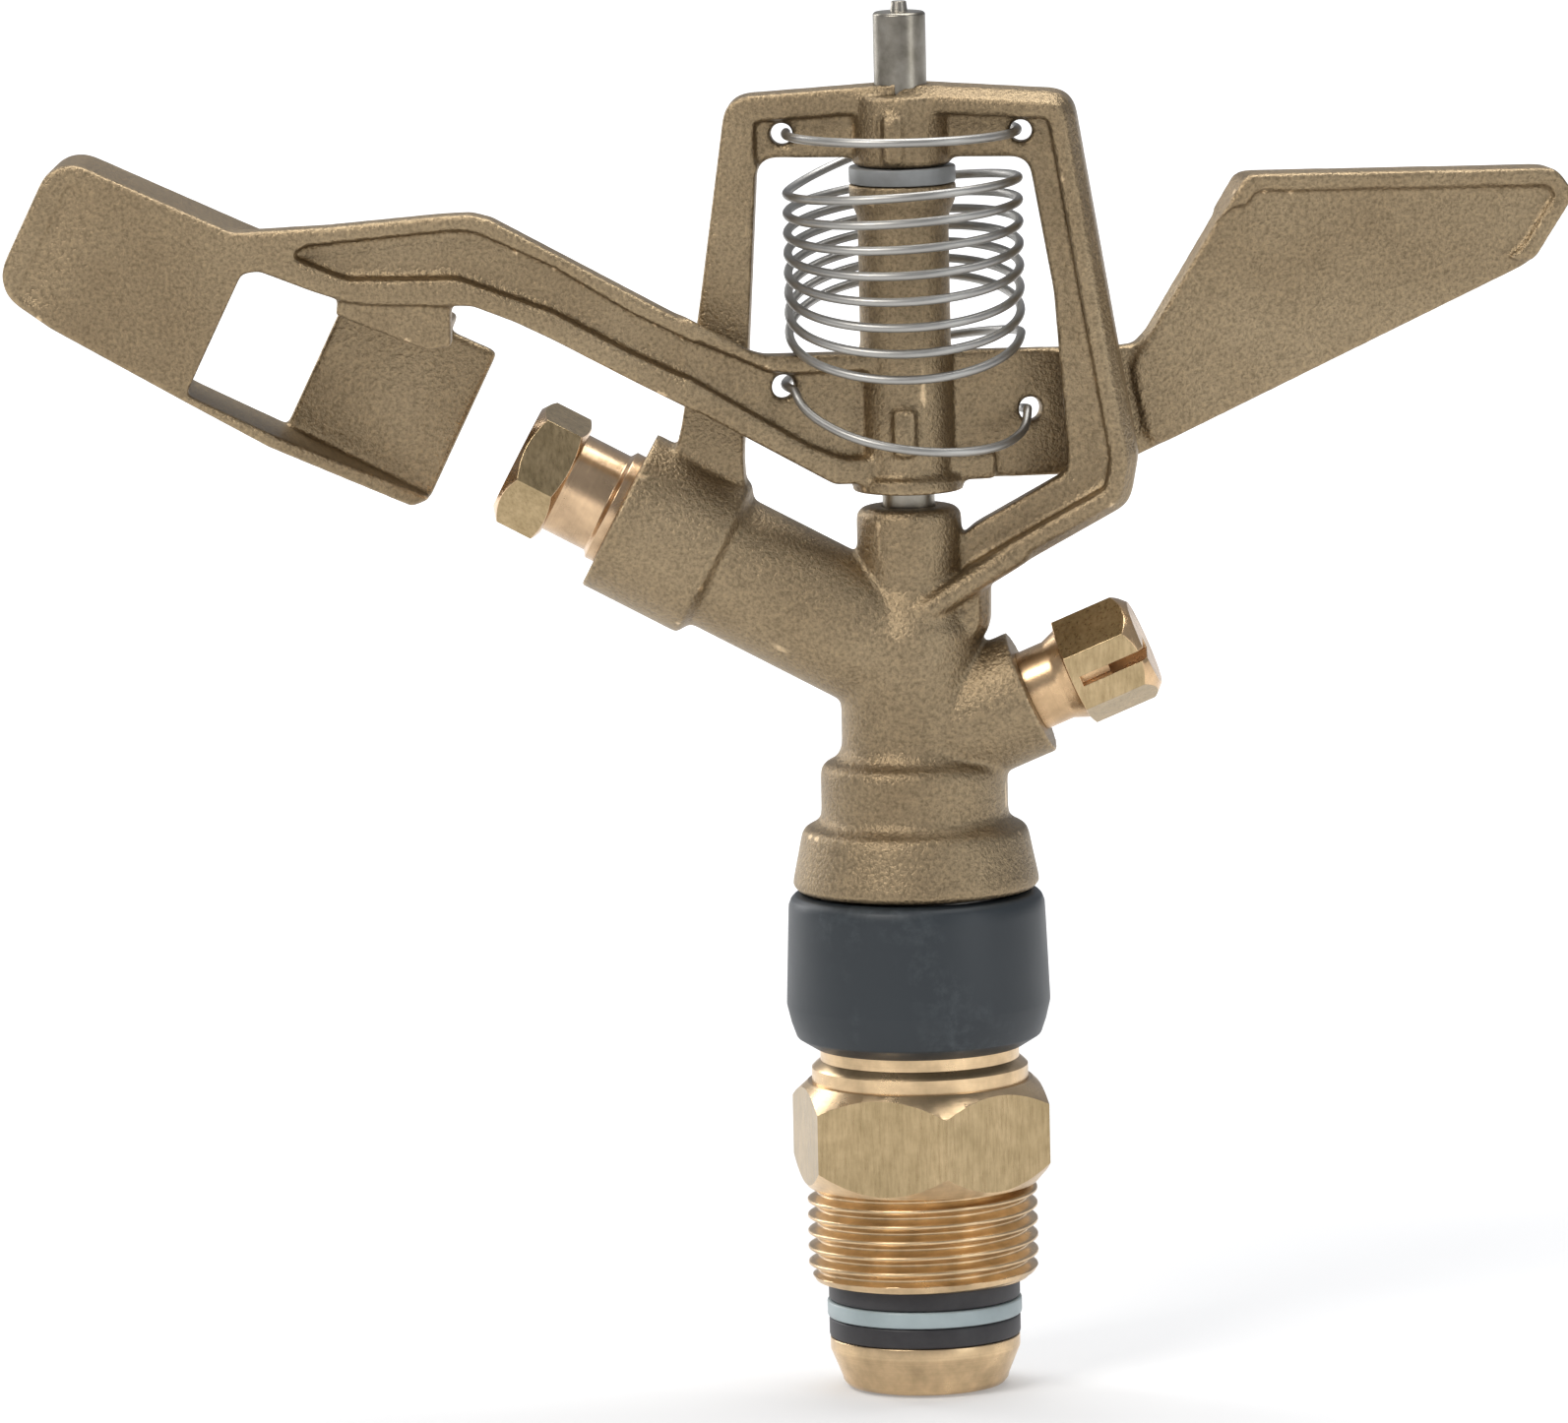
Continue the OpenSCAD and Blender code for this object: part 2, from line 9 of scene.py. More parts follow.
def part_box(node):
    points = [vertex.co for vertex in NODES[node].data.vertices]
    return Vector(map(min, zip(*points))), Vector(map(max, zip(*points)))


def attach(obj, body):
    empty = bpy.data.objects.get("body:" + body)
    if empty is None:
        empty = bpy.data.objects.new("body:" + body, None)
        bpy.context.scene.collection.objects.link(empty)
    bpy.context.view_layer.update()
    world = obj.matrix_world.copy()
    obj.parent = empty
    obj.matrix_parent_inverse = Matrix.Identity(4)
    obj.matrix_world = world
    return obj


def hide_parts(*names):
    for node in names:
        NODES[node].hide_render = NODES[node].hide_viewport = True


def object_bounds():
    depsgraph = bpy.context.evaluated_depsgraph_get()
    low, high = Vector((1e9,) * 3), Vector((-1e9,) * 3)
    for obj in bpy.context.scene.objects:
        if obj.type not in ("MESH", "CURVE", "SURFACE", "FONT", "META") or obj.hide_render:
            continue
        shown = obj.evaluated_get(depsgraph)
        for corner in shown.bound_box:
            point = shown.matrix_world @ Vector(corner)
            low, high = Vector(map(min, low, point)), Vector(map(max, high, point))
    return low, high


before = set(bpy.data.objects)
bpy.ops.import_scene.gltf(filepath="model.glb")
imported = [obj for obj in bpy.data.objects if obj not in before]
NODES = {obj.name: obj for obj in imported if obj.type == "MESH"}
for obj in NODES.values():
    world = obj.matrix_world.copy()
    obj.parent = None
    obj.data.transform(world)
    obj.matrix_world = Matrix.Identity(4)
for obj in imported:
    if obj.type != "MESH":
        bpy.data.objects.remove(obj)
size_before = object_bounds()
MM = 0.001


def span(node):
    """A CAD node's lowest and highest corners at rest, in mm."""
    low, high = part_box(node)
    return low / MM, high / MM


# ---------------------------------------------------------------- sizes in mm

# turned pieces stay this far inside the CAD surface
SKIN = 0.02
SEAL_BORE_R = 8.4
TUBE_R = 8.3
TUBE_BORE_R = 6.5
# pipe thread of the inlet: crest radius, depth and pitch
THREAD_R = 13.2
THREAD_DEPTH = 1.16
THREAD_PITCH = 1.814
# axes of the main nozzle's barrel and of the rear boss, from the points where they cross the turning axis
BARREL_RISE = math.radians(28)
BARREL_Z = 60.6
REAR_RISE = math.radians(23)
REAR_Z = 50.8
# the arm spring: its wire, the ring in the bridge, the coils, and the run to the arm's two holes
ARM_YAW = 15.5
ARM_WIRE_R = 0.515
ARM_COIL_R = 13.2
TOP_RING_Z = 121.0
RING_END = 400
COIL_START = 540
COIL_END = 3240
COIL_TOP = 115.5
COIL_PITCH = 2.386
LEAN_SIDE = 1.3
LEAN_FRONT = 4.4
LEAN_LAG = 15
LEFT_HOLE_ANGLE = 3420 + ARM_YAW
RIGHT_HOLE_ANGLE = 3600 + ARM_YAW
LEFT_HOLE_Z = 92.5
RIGHT_HOLE_Z = 88.7
LAST_DIP = 4.8
HOLE_RUN = 0.2
HOLE_SWELL = 0.8
# the bearing spring
BEARING_COIL_R = 10.3
BEARING_WIRE_R = 0.88
BEARING_TURNS = 7
# castings: size of the first cells, rounds of smoothing, and most triangles in the result
CAST_CELL = 0.27
CAST_ROUNDS = 28
CAST_LIMIT = 185000

# ---------------------------------------------------------------- materials


class Nodes:
    """A material and short ways to add and join its nodes."""

    def __init__(self, name):
        self.mat = bpy.data.materials.new(name)
        self.mat.use_nodes = True
        self.tree = self.mat.node_tree
        self.shader = self.tree.nodes["Principled BSDF"]

    def add(self, kind, **values):
        node = self.tree.nodes.new(kind)
        for key, value in values.items():
            if key in node.inputs:
                node.inputs[key].default_value = value
            else:
                setattr(node, key, value)
        return node

    def join(self, a, b):
        self.tree.links.new(a, b)

    def coords(self, scale=(1, 1, 1)):
        coord = self.add("ShaderNodeTexCoord")
        mapping = self.add("ShaderNodeMapping")
        mapping.inputs["Scale"].default_value = scale
        self.join(coord.outputs["Object"], mapping.inputs["Vector"])
        return mapping.outputs["Vector"]

    def noise(self, scale, detail=2.0, rough=0.5, stretch=(1, 1, 1), vector=None):
        node = self.add("ShaderNodeTexNoise")
        node.inputs["Scale"].default_value = scale
        node.inputs["Detail"].default_value = detail
        node.inputs["Roughness"].default_value = rough
        self.join(vector if vector is not None else self.coords(stretch), node.inputs["Vector"])
        return node.outputs["Fac"]

    def ramp(self, fac, stops):
        node = self.add("ShaderNodeValToRGB")
        while len(node.color_ramp.elements) < len(stops):
            node.color_ramp.elements.new(0.5)
        for element, (at, colour) in zip(node.color_ramp.elements, stops):
            element.position = at
            element.color = (*colour, 1.0) if len(colour) == 3 else colour
        self.join(fac, node.inputs["Fac"])
        return node.outputs["Color"]

    def mix(self, fac, a, b, mode="MIX"):
        node = self.add("ShaderNodeMix", data_type="RGBA", blend_type=mode)
        for socket, value in ((node.inputs[0], fac), (node.inputs[6], a), (node.inputs[7], b)):
            if isinstance(value, bpy.types.NodeSocket):
                self.join(value, socket)
            elif isinstance(value, (int, float)):
                socket.default_value = value
            else:
                socket.default_value = (*value, 1.0)
        return node.outputs[2]

    def math(self, operation, a, b=None):
        node = self.add("ShaderNodeMath", operation=operation)
        for socket, value in ((node.inputs[0], a), (node.inputs[1], b)):
            if isinstance(value, bpy.types.NodeSocket):
                self.join(value, socket)
            elif value is not None:
                socket.default_value = value
        return node.outputs[0]

    def bump(self, height, strength, distance, below=None):
        node = self.add("ShaderNodeBump")
        node.inputs["Strength"].default_value = strength
        node.inputs["Distance"].default_value = distance
        self.join(height, node.inputs["Height"])
        if below is not None:
            self.join(below, node.inputs["Normal"])
        return node.outputs["Normal"]

    def radius(self, axis_dir=(0, 0, 1), axis_point=(0, 0, 0)):
        """Position along a turning axis, as a socket: rings of constant value run round the axis."""
        coord = self.add("ShaderNodeTexCoord")
        sub = self.add("ShaderNodeVectorMath", operation="SUBTRACT")
        sub.inputs[1].default_value = axis_point
        self.join(coord.outputs["Object"], sub.inputs[0])
        dot = self.add("ShaderNodeVectorMath", operation="DOT_PRODUCT")
        dot.inputs[1].default_value = axis_dir
        self.join(sub.outputs[0], dot.inputs[0])
        along = dot.outputs["Value"]
        length = self.add("ShaderNodeVectorMath", operation="LENGTH")
        self.join(sub.outputs[0], length.inputs[0])
        both = self.add("ShaderNodeCombineXYZ")
        self.join(along, both.inputs[0])
        self.join(length.outputs["Value"], both.inputs[1])
        return both.outputs[0]

    def surface(self, colour=None, rough=None, normal=None, metallic=0.0, **constants):
        self.shader.inputs["Metallic"].default_value = metallic
        for name, value in (("Base Color", colour), ("Roughness", rough), ("Normal", normal)):
            if isinstance(value, bpy.types.NodeSocket):
                self.join(value, self.shader.inputs[name])
            elif isinstance(value, (int, float)):
                self.shader.inputs[name].default_value = value
            elif value is not None:
                self.shader.inputs[name].default_value = (*value, 1.0)
        for name, value in constants.items():
            self.shader.inputs[name].default_value = value
        return self.mat


def cast_bronze():
    """Sand-cast bronze: a grainy olive brown, with a painted highlight along its convex edges."""
    n = Nodes("cast_bronze")
    broad = n.noise(55, 3, 0.55)
    grain = n.noise(2300, 3, 0.6)
    fine = n.noise(5200, 2, 0.5)
    tones = [(0.3, (0.25, 0.186, 0.112)), (0.5, (0.285, 0.216, 0.132)), (0.72, (0.325, 0.25, 0.156))]
    tone = n.ramp(broad, tones)
    fleck = n.ramp(grain, [(0.34, (0.66, 0.65, 0.63)), (0.5, (1.0, 1.0, 1.0)), (0.68, (1.34, 1.32, 1.27))])
    colour = n.mix(0.8, tone, fleck, "MULTIPLY")
    rough = n.math("ADD", n.math("MULTIPLY", grain, 0.2), 0.33)
    pits = n.bump(broad, 0.25, 0.0008)
    coarse = n.bump(grain, 0.8, 0.00022, pits)
    normal = n.bump(fine, 0.45, 0.00005, coarse)
    # painted highlight: convex edges, found by pointiness, are mixed toward bright gold (0.8, 0.6, 0.37) and
    # made a little less rough
    edges = n.add("ShaderNodeNewGeometry").outputs["Pointiness"]
    edge_highlight = n.ramp(edges, [(0.515, (0, 0, 0)), (0.62, (1, 1, 1))])
    edge_highlight = n.math("MULTIPLY", edge_highlight, n.math("ADD", n.math("MULTIPLY", grain, 0.7), 0.3))
    colour = n.mix(edge_highlight, colour, (0.8, 0.6, 0.37))
    rough = n.math("SUBTRACT", rough, n.math("MULTIPLY", edge_highlight, 0.1))
    return n.surface(colour, rough, normal, metallic=1.0)


def turned_brass(name, axis_dir=(0, 0, 1), axis_point=(0, 0, 0), tone=(0.78, 0.57, 0.34), rough=0.27):
    """Brass from the lathe, with fine tool lines round its axis."""
    n = Nodes(name)
    rings = n.noise(9000, 3, 0.7, vector=n.radius(axis_dir, axis_point))
    patches = n.noise(220, 4, 0.6)
    specks = n.noise(2600, 2, 0.5)
    dull = tuple(c * 0.66 for c in tone)
    colour = n.mix(n.ramp(patches, [(0.38, (0, 0, 0)), (0.68, (1, 1, 1))]), tone, dull)
    shade = n.ramp(rings, [(0.3, (0.86, 0.85, 0.83)), (0.7, (1.06, 1.06, 1.05))])
    colour = n.mix(0.7, colour, shade, "MULTIPLY")
    roughness = n.math("ADD", n.math("MULTIPLY", patches, 0.22), rough - 0.08)
    normal = n.bump(rings, 0.35, 0.00004)
    normal = n.bump(specks, 0.12, 0.00004, normal)
    return n.surface(colour, roughness, normal, metallic=1.0)


def milled_brass():
    """The hexagons' flats: duller, with upright strokes and a few stains."""
    n = Nodes("milled_brass")
    patches = n.noise(180, 5, 0.65)
    stains = n.noise(620, 3, 0.6)
    strokes = n.noise(2400, 3, 0.7, stretch=(1.0, 1.0, 0.12))
    tones = [(0.32, (0.40, 0.30, 0.165)), (0.52, (0.46, 0.345, 0.195)), (0.7, (0.52, 0.39, 0.225))]
    strokes_shade = n.ramp(strokes, [(0.36, (0.66, 0.64, 0.58)), (0.6, (1.12, 1.12, 1.12))])
    stains_shade = n.ramp(stains, [(0.36, (0.7, 0.68, 0.6)), (0.6, (1.05, 1.05, 1.05))])
    colour = n.mix(0.5, n.ramp(patches, tones), strokes_shade, "MULTIPLY")
    colour = n.mix(0.3, colour, stains_shade, "MULTIPLY")
    roughness = n.math("ADD", n.math("MULTIPLY", strokes, 0.2), 0.2)
    normal = n.bump(strokes, 0.3, 0.00006)
    normal = n.bump(stains, 0.2, 0.00008, normal)
    return n.surface(colour, roughness, normal, metallic=1.0)


def wire_steel():
    """Drawn spring wire."""
    n = Nodes("wire_steel")
    draw = n.noise(1500, 2, 0.5)
    broad = n.noise(140, 2, 0.5)
    colour = n.ramp(broad, [(0.3, (0.33, 0.32, 0.30)), (0.7, (0.43, 0.42, 0.395))])
    roughness = n.math("ADD", n.math("MULTIPLY", draw, 0.14), 0.36)
    return n.surface(colour, roughness, n.bump(draw, 0.05, 0.00002), metallic=1.0)


def shaft_steel():
    """A turned steel pin, stained brown in places."""
    n = Nodes("shaft_steel")
    rings = n.noise(7000, 3, 0.7, vector=n.radius())
    stains = n.noise(260, 4, 0.6)
    tones = [(0.32, (0.20, 0.18, 0.145)), (0.6, (0.34, 0.315, 0.27)), (0.76, (0.45, 0.42, 0.37))]
    colour = n.ramp(stains, tones)
    roughness = n.math("ADD", n.math("MULTIPLY", stains, 0.25), 0.22)
    return n.surface(colour, roughness, n.bump(rings, 0.3, 0.00004), metallic=1.0)


def sleeve_plastic():
    """Dark slate plastic with a dusty haze."""
    n = Nodes("sleeve_plastic")
    haze = n.noise(90, 5, 0.62, stretch=(1, 1, 0.6))
    dust = n.noise(520, 5, 0.7)
    grain = n.noise(3800, 2, 0.5)
    mask = n.math("MULTIPLY", n.ramp(haze, [(0.48, (0, 0, 0)), (0.74, (1, 1, 1))]),
                  n.ramp(dust, [(0.46, (0, 0, 0)), (0.68, (1, 1, 1))]))
    colour = n.mix(mask, (0.017, 0.023, 0.028), (0.05, 0.06, 0.066))
    roughness = n.math("ADD", n.math("MULTIPLY", haze, 0.25), 0.34)
    normal = n.bump(dust, 0.08, 0.00012)
    return n.surface(colour, roughness, n.bump(grain, 0.12, 0.00003, normal), metallic=0.0)


def plain_plastic(name, colour, dark, rough=0.4):
    """Plain moulded plastic or rubber that clouds from one colour to another."""
    n = Nodes(name)
    cloud = n.noise(160, 4, 0.6)
    grain = n.noise(3000, 2, 0.5)
    tint = n.mix(n.ramp(cloud, [(0.35, (0, 0, 0)), (0.7, (1, 1, 1))]), colour, dark)
    roughness = n.math("ADD", n.math("MULTIPLY", cloud, 0.2), rough - 0.1)
    return n.surface(tint, roughness, n.bump(grain, 0.15, 0.00004), metallic=0.0)


BARREL_DIR = Vector((-math.cos(BARREL_RISE), 0, math.sin(BARREL_RISE)))
REAR_DIR = Vector((math.cos(REAR_RISE), 0, math.sin(REAR_RISE)))
BARREL_AT = Vector((0, 0, BARREL_Z * MM))
REAR_AT = Vector((0, 0, REAR_Z * MM))

BRONZE = cast_bronze()
BRASS = turned_brass("turned_brass")
BARREL_BRASS = turned_brass("turned_brass_barrel", BARREL_DIR, BARREL_AT, tone=(0.68, 0.48, 0.30), rough=0.22)
REAR_BRASS = turned_brass("turned_brass_rear", REAR_DIR, REAR_AT, tone=(0.76, 0.52, 0.30), rough=0.24)
MILLED = milled_brass()
WIRE = wire_steel()
SHAFT = shaft_steel()
SLEEVE = sleeve_plastic()
PALE = plain_plastic("pale_plastic", (0.37, 0.44, 0.45), (0.30, 0.36, 0.37))
WASHER = plain_plastic("washer_plastic", (0.26, 0.27, 0.27), (0.18, 0.18, 0.175))
RUBBER = plain_plastic("seal_rubber", (0.022, 0.02, 0.022), (0.045, 0.042, 0.044), 0.5)

# ---------------------------------------------------------------- shapes


# edges that turn by more than this many degrees are shaded sharp
SHARP_ANGLE = 35


def link(name, mesh):
    """A new object in the scene."""
    obj = bpy.data.objects.new(name, mesh)
    bpy.context.scene.collection.objects.link(obj)
    return obj


def settle(obj):
    """Replaces an object's mesh by what its modifiers make of it."""
    bpy.context.view_layer.update()
    graph = bpy.context.evaluated_depsgraph_get()
    mesh = bpy.data.meshes.new_from_object(obj.evaluated_get(graph))
    obj.modifiers.clear()
    obj.data = mesh
    mesh.name = obj.name
    return obj


def modified(obj, kind, **settings):
    """One modifier, put on and settled."""
    mod = obj.modifiers.new(kind.lower(), kind)
    for key, value in settings.items():
        setattr(mod, key, value)
    return settle(obj)


def smooth(obj, angle=None):
    """Smooth shading, with edges sharper than the angle kept sharp."""
    obj.data.polygons.foreach_set("use_smooth", [True] * len(obj.data.polygons))
    if angle is not None:
        obj.data.set_sharp_from_angle(angle=math.radians(angle))
    return obj


def points(obj):
    """An object's vertices in mm."""
    co = np.empty(len(obj.data.vertices) * 3, np.float32)
    obj.data.vertices.foreach_get("co", co)
    return co.reshape(-1, 3) / MM


def stand_in(obj, node, body, slot, *materials):
    """A piece that stands for a CAD node: its materials and body; the slot is not used."""
    for material in materials:
        obj.data.materials.append(material)
    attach(obj, body)
    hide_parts(node)
    return obj


def copy_of(node, name):
    """A copy of a CAD node's mesh with its corners joined, and no material yet."""
    mesh = bpy.data.meshes.new(name)
    bm = bmesh.new()
    bm.from_mesh(NODES[node].data)
    bmesh.ops.remove_doubles(bm, verts=bm.verts, dist=2e-6)
    bm.to_mesh(mesh)
    bm.free()
    mesh.materials.clear()
    return link(name, mesh)


def bevelled(obj, width):
    """Fine rounded edges on a machined piece."""
    bm = bmesh.new()
    bm.from_mesh(obj.data)
    bmesh.ops.dissolve_limit(bm, angle_limit=math.radians(0.6), verts=bm.verts, edges=bm.edges)
    bm.to_mesh(obj.data)
    bm.free()
    modified(obj, "BEVEL", width=width * MM, segments=2, limit_method="ANGLE",
             angle_limit=math.radians(25), use_clamp_overlap=True)
    smooth(obj, SHARP_ANGLE)
    return modified(obj, "WEIGHTED_NORMAL", keep_sharp=True)


def lathe(name, profile, rounding, segments=144):
    """A closed profile of (radius, height) in mm, turned about Z, with its edges rounded."""
    angles = [2 * math.pi * i / segments for i in range(segments)]
    rows = len(profile)
    verts = [(r * MM * math.cos(a), r * MM * math.sin(a), z * MM) for a in angles for r, z in profile]
    faces = []
    for i in range(segments):
        j = (i + 1) % segments
        for k in range(rows):
            m = (k + 1) % rows
            faces.append((i * rows + k, j * rows + k, j * rows + m, i * rows + m))
    mesh = bpy.data.meshes.new(name)
    mesh.from_pydata(verts, [], faces)
    obj = link(name, mesh)
    bm = bmesh.new()
    bm.from_mesh(mesh)
    bmesh.ops.remove_doubles(bm, verts=bm.verts, dist=1e-7)
    bmesh.ops.recalc_face_normals(bm, faces=bm.faces)
    bm.to_mesh(mesh)
    bm.free()
    modified(obj, "BEVEL", width=rounding * MM, segments=3, limit_method="ANGLE",
             angle_limit=math.radians(20))
    return smooth(obj, SHARP_ANGLE)


def tube(name, path, radius, sides=12):
    """A round wire along path, both in mm, closed at its ends."""
    p = np.array(path, float)
    step = np.gradient(p, axis=0)
    along = step / np.linalg.norm(step, axis=1)[:, None]
    side = np.cross(along, [0, 0, 1.0])
    side /= np.linalg.norm(side, axis=1)[:, None]
    up = np.cross(side, along)
    turn = np.linspace(0, 2 * math.pi, sides, endpoint=False)
    across = np.cos(turn)[None, :, None] * side[:, None]
    upright = np.sin(turn)[None, :, None] * up[:, None]
    rings = p[:, None] + radius * (across + upright)
    verts = (rings.reshape(-1, 3) * MM).tolist()
    last = (len(p) - 1) * sides
    faces = []
    for row in range(0, last, sides):
        for k in range(sides):
            m = (k + 1) % sides
            faces.append((row + k, row + m, row + sides + m, row + sides + k))
    faces.append(tuple(range(sides - 1, -1, -1)))
    faces.append(tuple(last + k for k in range(sides)))
    mesh = bpy.data.meshes.new(name)
    mesh.from_pydata(verts, [], faces)
    obj = link(name, mesh)
    bm = bmesh.new()
    bm.from_mesh(mesh)
    bmesh.ops.recalc_face_normals(bm, faces=bm.faces)
    bm.to_mesh(mesh)
    bm.free()
    return smooth(obj, 50)


def cast(node, name, crisp):
    """A casting: the CAD solid with its edges and corners flowed round, except where it is machined."""
    obj = copy_of(node, name)
    modified(obj, "REMESH", mode="VOXEL", voxel_size=CAST_CELL * MM, adaptivity=0.0)
    machined = crisp(points(obj))
    group = obj.vertex_groups.new(name="soft")
    group.add(np.nonzero(~machined)[0].tolist(), 1.0, "REPLACE")
    group.add(np.nonzero(machined)[0].tolist(), 0.12, "REPLACE")
    modified(obj, "SMOOTH", factor=0.5, iterations=CAST_ROUNDS, vertex_group="soft")
    count = sum(len(f.vertices) - 2 for f in obj.data.polygons)
    if count > CAST_LIMIT:
        modified(obj, "DECIMATE", ratio=CAST_LIMIT / count)
    obj.vertex_groups.clear()
    return smooth(obj)


# ---------------------------------------------------------------- castings


def along(co, direction, start):
    """How far points lie along an axis, and how far off it, in mm."""
    rel = co - np.array(start) / MM
    t = rel @ np.array(direction)
    r = np.linalg.norm(rel - t[:, None] * np.array(direction)[None], axis=1)
    return t, r


def body_crisp(co):
    """The body's machined places: both nozzle seats, the bell's mouth and the shaft's bores."""
    t1, r1 = along(co, BARREL_DIR, BARREL_AT)
    t2, r2 = along(co, REAR_DIR, REAR_AT)
    radial = np.hypot(co[:, 0], co[:, 1])
    return (((t1 > 36.2) & (r1 < 10.2)) | ((t2 > 13.9) & (r2 < 7.8)) | (co[:, 2] < 34.9)
            | ((radial < 3.6) & (co[:, 2] > 65)))


def arm_crisp(co):
    """The arm's machined places: the hub's ends and bore."""
    radial = np.hypot(co[:, 0], co[:, 1])
    return ((radial < 6.6) & ((co[:, 2] > 114.6) | (co[:, 2] < 80.5))) | (radial < 4.4)


body = cast("body_casting", "body_casting_surface", body_crisp)
stand_in(body, "body_casting", "rotor", "cast_bronze", BRONZE)
arm = cast("swing_arm", "swing_arm_surface", arm_crisp)
stand_in(arm, "swing_arm", "arm", "cast_bronze", BRONZE)

# ---------------------------------------------------------------- inlet and bearing


def thread_radius(heights, turn, z_bottom):
    """The thread's radius at each height, after a share of one turn, with a lead-in at the bottom."""
    phase = (heights / THREAD_PITCH - turn) % 1.0
    flank = np.clip((1 - np.abs(phase * 2 - 1) - 0.12) / 0.76, 0, 1)
    flank = flank * flank * (3 - 2 * flank) * 0.55 + flank * 0.45
    lead_in = np.clip((heights - z_bottom) / 1.3, 0, 1)
    return np.minimum(THREAD_R - THREAD_DEPTH * (1 - flank), THREAD_R - 0.75 * (1 - lead_in))


def inlet_thread():
    """The pipe thread and the bore inside it, one closed loop of points for each step of the turn."""
    z_top = 0.0
    z_bottom = span("bearing_nipple")[0].z
    steps = 168
    heights = np.linspace(z_bottom, z_top, 132)
    loop = len(heights) + 2
    verts = []
    faces = []
    for i in range(steps):
        a = 2 * math.pi * i / steps
        outline = list(zip(thread_radius(heights, i / steps, z_bottom), heights))
        outline += [(SEAL_BORE_R, z_top), (SEAL_BORE_R, z_bottom)]
        verts += [(r * math.cos(a) * MM, r * math.sin(a) * MM, z * MM) for r, z in outline]
        here = i * loop
        after = (i + 1) % steps * loop
        for k in range(loop):
            m = (k + 1) % loop
            faces.append((here + k, after + k, after + m, here + m))
    mesh = bpy.data.meshes.new("inlet_thread")
    mesh.from_pydata(verts, [], faces)
    return smooth(link("inlet_thread", mesh), 60)


def nipple_head():
    """The CAD nipple above the thread, closed at the cut."""
    obj = copy_of("bearing_nipple", "bearing_nipple_surface")
    bm = bmesh.new()
    bm.from_mesh(obj.data)
    cut = bmesh.ops.bisect_plane(bm, geom=bm.verts[:] + bm.edges[:] + bm.faces[:], dist=1e-7,
                                 plane_co=(0, 0, 0.00002), plane_no=(0, 0, 1), clear_inner=True)
    edges = [g for g in cut["geom_cut"] if isinstance(g, bmesh.types.BMEdge)]
    bmesh.ops.triangle_fill(bm, edges=edges, use_beauty=True)
    bmesh.ops.recalc_face_normals(bm, faces=bm.faces)
    bm.to_mesh(obj.data)
    bm.free()
    return bevelled(obj, 0.16)


def hexagon_flat(center, normal):
    """Whether a face of the nipple is one of its spanner flats."""
    return abs(normal.z) < 0.2 and math.hypot(center.x, center.y) > 12.9 and 1 < center.z < 11.5


def ring(name, node, bore, rounding, skin=SKIN):
    """A plain ring just inside its CAD node."""
    low, high = span(node)
    bottom = low.z + skin
    top = high.z - skin
    outer = high.x - SKIN
    return lathe(name, [(bore, bottom), (outer, bottom), (outer, top), (bore, top)], rounding)


def turning_tube():
    """The tube that the body turns on, with its flared foot under the seals."""
    low, high = span("bearing_tube")
    z = low.z
    flare = high.x
    seat = span("lower_seal_ring")[0].z - SKIN
    profile = [(TUBE_BORE_R, z + 0.8), (TUBE_BORE_R + 0.8, z), (8.4, z), (9.0, z + 0.18), (9.45, z + 0.7),
               (9.62, z + 1.3), (flare, z + 4.4), (flare, seat), (TUBE_R, seat), (TUBE_R, high.z),
               (TUBE_BORE_R, high.z)]
    return lathe("turning_tube", profile, 0.12)


def sleeve():
    """The dust sleeve: tapered foot, nearly upright wall, rounded shoulder, and hollow inside."""
    low, high = span("dust_sleeve")
    z = low.z
    top = high.z
    r = high.x
    profile = [(11.42, z), (11.9, z), (r - 1.1, z + 1.3), (r - 0.5, z + 3), (r - 0.02, z + 5), (r, z + 5.3),
               (r - 0.38, top - 2.4), (r - 0.44, top - 1.4), (r - 0.7, top - 0.7), (r - 1.2, top - 0.2),
               (r - 1.9, top), (12.4, top), (12.4, z + 2.3), (11.42, z + 2.3)]
    return lathe("sleeve", profile, 0.18)


head = stand_in(nipple_head(), "bearing_nipple", "inlet", "machined_brass", BRASS, MILLED)
for face in head.data.polygons:
    face.material_index = int(hexagon_flat(face.center / MM, face.normal))
stand_in(inlet_thread(), "bearing_nipple", "inlet", "machined_brass", BRASS)
stand_in(ring("upper_seal", "upper_seal_ring", SEAL_BORE_R, 0.35),
         "upper_seal_ring", "inlet", "seal_rubber", RUBBER)
stand_in(ring("thrust_washer", "thrust_ring", SEAL_BORE_R, 0.25),
         "thrust_ring", "rotor", "thrust_plastic", PALE)
stand_in(ring("lower_seal", "lower_seal_ring", SEAL_BORE_R, 0.35),
         "lower_seal_ring", "rotor", "seal_rubber", RUBBER)
stand_in(turning_tube(), "bearing_tube", "rotor", "machined_brass", BRASS)
stand_in(sleeve(), "dust_sleeve", "inlet", "sleeve_plastic", SLEEVE)

# ---------------------------------------------------------------- nozzles


def nozzle(node, name, direction, start, hexagon, turned):
    """A nozzle with turned brass all over and milled flats between two places along its axis."""
    obj = bevelled(copy_of(node, name), 0.14)
    stand_in(obj, node, "rotor", "machined_brass", turned, MILLED)
    first, last = hexagon
    for face in obj.data.polygons:
        rel = (face.center - start) / MM
        t = rel.dot(direction)
        off_axis = (rel - t * direction).length
        upright = abs(face.normal.dot(direction)) < 0.3
        face.material_index = int(first < t < last and upright and off_axis > 5.2)


nozzle("main_nozzle", "main_nozzle_surface", BARREL_DIR, BARREL_AT, (44.5, 51), BARREL_BRASS)
nozzle("spreader_nozzle", "spreader_nozzle_surface", REAR_DIR, REAR_AT, (20.2, 28.9), REAR_BRASS)

# ---------------------------------------------------------------- arm pivot and springs

